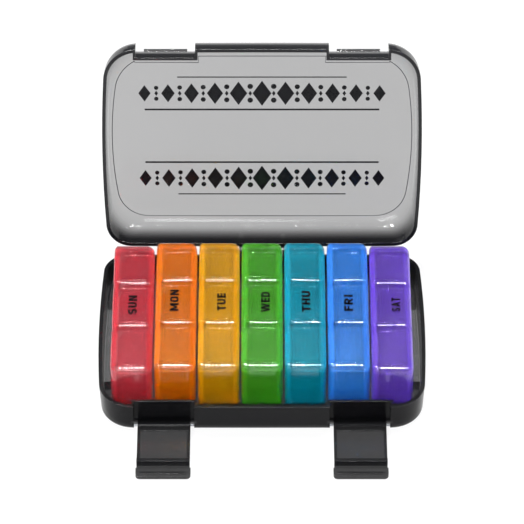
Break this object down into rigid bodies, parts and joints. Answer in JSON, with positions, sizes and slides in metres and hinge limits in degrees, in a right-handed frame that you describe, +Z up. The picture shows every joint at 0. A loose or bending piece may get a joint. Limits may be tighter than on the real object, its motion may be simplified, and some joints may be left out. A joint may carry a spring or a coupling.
{
  "type": "weekly pill organizer",
  "caption": "Pocket case with a hinged see-through lid, front latches and lift-out day boxes, each with flip-lid compartments for tablets.",
  "frame": {"origin": "the middle of the flat underside of the case base, on the surface that the case stands on", "axes": "+Z up, +X along the row of day boxes from Sunday to Saturday, -Y towards the front with the latches, +Y towards the case hinge"},
  "size_m": [0.1918, 0.2281, 0.1464],
  "materials": {
    "case_smoke": "glossy, smoke see-through",
    "tray_smoke": "glossy, smoke see-through",
    "lid_clear": "glossy, smoke see-through",
    "pin_steel": "plain",
    "sun_tint": "glossy, tinted see-through",
    "mon_tint": "glossy, tinted see-through",
    "tue_tint": "glossy, tinted see-through",
    "wed_tint": "glossy, tinted see-through",
    "thu_tint": "glossy, tinted see-through",
    "fri_tint": "glossy, tinted see-through",
    "sat_tint": "glossy, tinted see-through"
  },
  "bodies": {
    "case": {"case_base": "case_smoke", "inner_tray": "tray_smoke", "case_hinge_pin": "pin_steel", "latch_pin_left": "pin_steel", "latch_pin_right": "pin_steel"},
    "case_lid": {"case_lid": "lid_clear"},
    "latch_left": {"latch_left": "case_smoke"},
    "latch_right": {"latch_right": "case_smoke"},
    "sun_box": {"sun_box": "sun_tint"},
    "sun_lid_front": {"sun_lid_front": "sun_tint"},
    "sun_lid_middle": {"sun_lid_middle": "sun_tint"},
    "sun_lid_rear": {"sun_lid_rear": "sun_tint"},
    "mon_box": {"mon_box": "mon_tint"},
    "mon_lid_front": {"mon_lid_front": "mon_tint"},
    "mon_lid_middle": {"mon_lid_middle": "mon_tint"},
    "mon_lid_rear": {"mon_lid_rear": "mon_tint"},
    "tue_box": {"tue_box": "tue_tint"},
    "tue_lid_front": {"tue_lid_front": "tue_tint"},
    "tue_lid_middle": {"tue_lid_middle": "tue_tint"},
    "tue_lid_rear": {"tue_lid_rear": "tue_tint"},
    "wed_box": {"wed_box": "wed_tint"},
    "wed_lid_front": {"wed_lid_front": "wed_tint"},
    "wed_lid_middle": {"wed_lid_middle": "wed_tint"},
    "wed_lid_rear": {"wed_lid_rear": "wed_tint"},
    "thu_box": {"thu_box": "thu_tint"},
    "thu_lid_front": {"thu_lid_front": "thu_tint"},
    "thu_lid_middle": {"thu_lid_middle": "thu_tint"},
    "thu_lid_rear": {"thu_lid_rear": "thu_tint"},
    "fri_box": {"fri_box": "fri_tint"},
    "fri_lid_front": {"fri_lid_front": "fri_tint"},
    "fri_lid_middle": {"fri_lid_middle": "fri_tint"},
    "fri_lid_rear": {"fri_lid_rear": "fri_tint"},
    "sat_box": {"sat_box": "sat_tint"},
    "sat_lid_front": {"sat_lid_front": "sat_tint"},
    "sat_lid_middle": {"sat_lid_middle": "sat_tint"},
    "sat_lid_rear": {"sat_lid_rear": "sat_tint"}
  },
  "joints": [
    {"name": "case_lid_hinge", "type": "hinge", "parent": "case", "child": "case_lid", "pos_m": [0, 0.0675, 0.01965], "axis": [-1, 0, 0], "range_deg": [-106.3, 0]},
    {"name": "latch_left_hinge", "type": "hinge", "parent": "case", "child": "latch_left", "pos_m": [-0.0568, -0.0621, 0.0027], "axis": [1, 0, 0], "range_deg": [-90, 0]},
    {"name": "latch_right_hinge", "type": "hinge", "parent": "case", "child": "latch_right", "pos_m": [0.0568, -0.0621, 0.0027], "axis": [1, 0, 0], "range_deg": [-90, 0]},
    {"name": "sun_box_lift", "type": "slide", "parent": "case", "child": "sun_box", "axis": [0, 0, 1], "range_m": [0, 0.045]},
    {"name": "sun_lid_front_hinge", "type": "hinge", "parent": "sun_box", "child": "sun_lid_front", "pos_m": [-0.0856, 0.0021, 0.035], "axis": [0, -1, 0], "range_deg": [0, 110]},
    {"name": "sun_lid_middle_hinge", "type": "hinge", "parent": "sun_box", "child": "sun_lid_middle", "pos_m": [-0.0856, 0.0021, 0.035], "axis": [0, -1, 0], "range_deg": [0, 110]},
    {"name": "sun_lid_rear_hinge", "type": "hinge", "parent": "sun_box", "child": "sun_lid_rear", "pos_m": [-0.0856, 0.0021, 0.035], "axis": [0, -1, 0], "range_deg": [0, 110]},
    {"name": "mon_box_lift", "type": "slide", "parent": "case", "child": "mon_box", "axis": [0, 0, 1], "range_m": [0, 0.045]},
    {"name": "mon_lid_front_hinge", "type": "hinge", "parent": "mon_box", "child": "mon_lid_front", "pos_m": [-0.0604, 0.0021, 0.0374], "axis": [0, -1, 0], "range_deg": [0, 110]},
    {"name": "mon_lid_middle_hinge", "type": "hinge", "parent": "mon_box", "child": "mon_lid_middle", "pos_m": [-0.0604, 0.0021, 0.0374], "axis": [0, -1, 0], "range_deg": [0, 110]},
    {"name": "mon_lid_rear_hinge", "type": "hinge", "parent": "mon_box", "child": "mon_lid_rear", "pos_m": [-0.0604, 0.0021, 0.0374], "axis": [0, -1, 0], "range_deg": [0, 110]},
    {"name": "tue_box_lift", "type": "slide", "parent": "case", "child": "tue_box", "axis": [0, 0, 1], "range_m": [0, 0.045]},
    {"name": "tue_lid_front_hinge", "type": "hinge", "parent": "tue_box", "child": "tue_lid_front", "pos_m": [-0.0352, 0.0021, 0.0374], "axis": [0, -1, 0], "range_deg": [0, 110]},
    {"name": "tue_lid_middle_hinge", "type": "hinge", "parent": "tue_box", "child": "tue_lid_middle", "pos_m": [-0.0352, 0.0021, 0.0374], "axis": [0, -1, 0], "range_deg": [0, 110]},
    {"name": "tue_lid_rear_hinge", "type": "hinge", "parent": "tue_box", "child": "tue_lid_rear", "pos_m": [-0.0352, 0.0021, 0.0374], "axis": [0, -1, 0], "range_deg": [0, 110]},
    {"name": "wed_box_lift", "type": "slide", "parent": "case", "child": "wed_box", "axis": [0, 0, 1], "range_m": [0, 0.045]},
    {"name": "wed_lid_front_hinge", "type": "hinge", "parent": "wed_box", "child": "wed_lid_front", "pos_m": [-0.01, 0.0021, 0.0374], "axis": [0, -1, 0], "range_deg": [0, 110]},
    {"name": "wed_lid_middle_hinge", "type": "hinge", "parent": "wed_box", "child": "wed_lid_middle", "pos_m": [-0.01, 0.0021, 0.0374], "axis": [0, -1, 0], "range_deg": [0, 110]},
    {"name": "wed_lid_rear_hinge", "type": "hinge", "parent": "wed_box", "child": "wed_lid_rear", "pos_m": [-0.01, 0.0021, 0.0374], "axis": [0, -1, 0], "range_deg": [0, 110]},
    {"name": "thu_box_lift", "type": "slide", "parent": "case", "child": "thu_box", "axis": [0, 0, 1], "range_m": [0, 0.045]},
    {"name": "thu_lid_front_hinge", "type": "hinge", "parent": "thu_box", "child": "thu_lid_front", "pos_m": [0.0152, 0.0021, 0.0374], "axis": [0, -1, 0], "range_deg": [0, 110]},
    {"name": "thu_lid_middle_hinge", "type": "hinge", "parent": "thu_box", "child": "thu_lid_middle", "pos_m": [0.0152, 0.0021, 0.0374], "axis": [0, -1, 0], "range_deg": [0, 110]},
    {"name": "thu_lid_rear_hinge", "type": "hinge", "parent": "thu_box", "child": "thu_lid_rear", "pos_m": [0.0152, 0.0021, 0.0374], "axis": [0, -1, 0], "range_deg": [0, 110]},
    {"name": "fri_box_lift", "type": "slide", "parent": "case", "child": "fri_box", "axis": [0, 0, 1], "range_m": [0, 0.045]},
    {"name": "fri_lid_front_hinge", "type": "hinge", "parent": "fri_box", "child": "fri_lid_front", "pos_m": [0.0404, 0.0021, 0.0374], "axis": [0, -1, 0], "range_deg": [0, 110]},
    {"name": "fri_lid_middle_hinge", "type": "hinge", "parent": "fri_box", "child": "fri_lid_middle", "pos_m": [0.0404, 0.0021, 0.0374], "axis": [0, -1, 0], "range_deg": [0, 110]},
    {"name": "fri_lid_rear_hinge", "type": "hinge", "parent": "fri_box", "child": "fri_lid_rear", "pos_m": [0.0404, 0.0021, 0.0374], "axis": [0, -1, 0], "range_deg": [0, 110]},
    {"name": "sat_box_lift", "type": "slide", "parent": "case", "child": "sat_box", "axis": [0, 0, 1], "range_m": [0, 0.045]},
    {"name": "sat_lid_front_hinge", "type": "hinge", "parent": "sat_box", "child": "sat_lid_front", "pos_m": [0.0656, 0.0021, 0.035], "axis": [0, -1, 0], "range_deg": [0, 110]},
    {"name": "sat_lid_middle_hinge", "type": "hinge", "parent": "sat_box", "child": "sat_lid_middle", "pos_m": [0.0656, 0.0021, 0.035], "axis": [0, -1, 0], "range_deg": [0, 110]},
    {"name": "sat_lid_rear_hinge", "type": "hinge", "parent": "sat_box", "child": "sat_lid_rear", "pos_m": [0.0656, 0.0021, 0.035], "axis": [0, -1, 0], "range_deg": [0, 110]}
  ]
}
